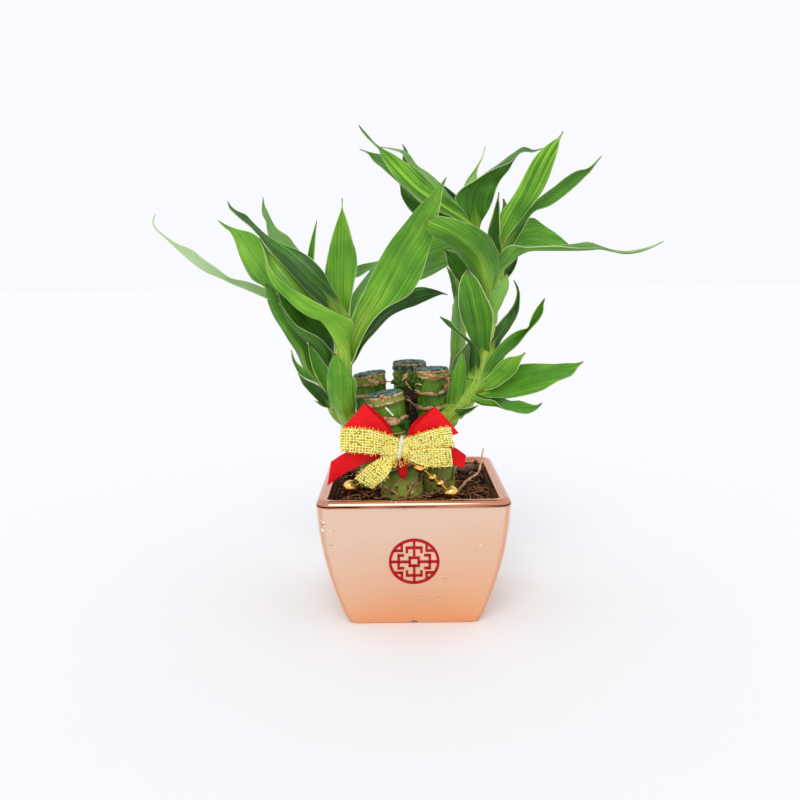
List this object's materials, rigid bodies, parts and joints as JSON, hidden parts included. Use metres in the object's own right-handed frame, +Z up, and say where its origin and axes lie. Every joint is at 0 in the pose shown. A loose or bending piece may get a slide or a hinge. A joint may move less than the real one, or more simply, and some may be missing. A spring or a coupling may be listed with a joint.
{
  "type": "potted lucky bamboo",
  "caption": "Lucky bamboo in a square rose-gold ceramic pot: upright canes with arching leafy shoots, a red and gold ribbon bow and gold beads.",
  "frame": {"origin": "middle of the pot's underside", "axes": "+Z up, front of the pot with the roundel towards -Y, +X to the right seen from the front"},
  "size_m": [0.2715, 0.098, 0.2573],
  "materials": {
    "pot_glaze": "rose-gold metallic glaze, satin body with a polished rim",
    "red_glaze": "red printed glaze",
    "soil": "dark fibrous potting mix",
    "cane": "living green cane with tan papery rings",
    "wax": "blue-green sealing wax",
    "leaf": "satin green leaf with pale margins",
    "husk": "dry papery husk",
    "root": "dry pale root",
    "red_satin": "satin ribbon",
    "gold_mesh": "glittering woven gold ribbon",
    "white_tie": "paper-covered tie",
    "gold_wire": "thin gold wire",
    "gold_bead": "polished gold-plated bead"
  },
  "bodies": {
    "root": {"pot": "pot_glaze", "roundel": "red_glaze", "soil": "soil", "cane_front_left": "cane", "wax_front_left": "wax", "cane_back_left": "cane", "wax_back_left": "wax", "cane_back_middle": "cane", "wax_back_middle": "wax", "cane_right": "cane", "wax_right": "wax", "shoot_left_front": "leaf", "shoot_left_back": "leaf", "shoot_right_front": "leaf", "shoot_right_back": "leaf", "dry_husk": "husk", "loose_root": "root", "red_ribbon": "red_satin", "gold_ribbon": "gold_mesh", "bow_tie": "white_tie", "bead_wire_left": "gold_wire", "bead_left": "gold_bead", "bead_wire_right": "gold_wire", "bead_right_top": "gold_bead", "bead_right_upper_small": "gold_bead", "bead_right_lower_small": "gold_bead", "bead_right_bottom": "gold_bead"}
  },
  "joints": []
}
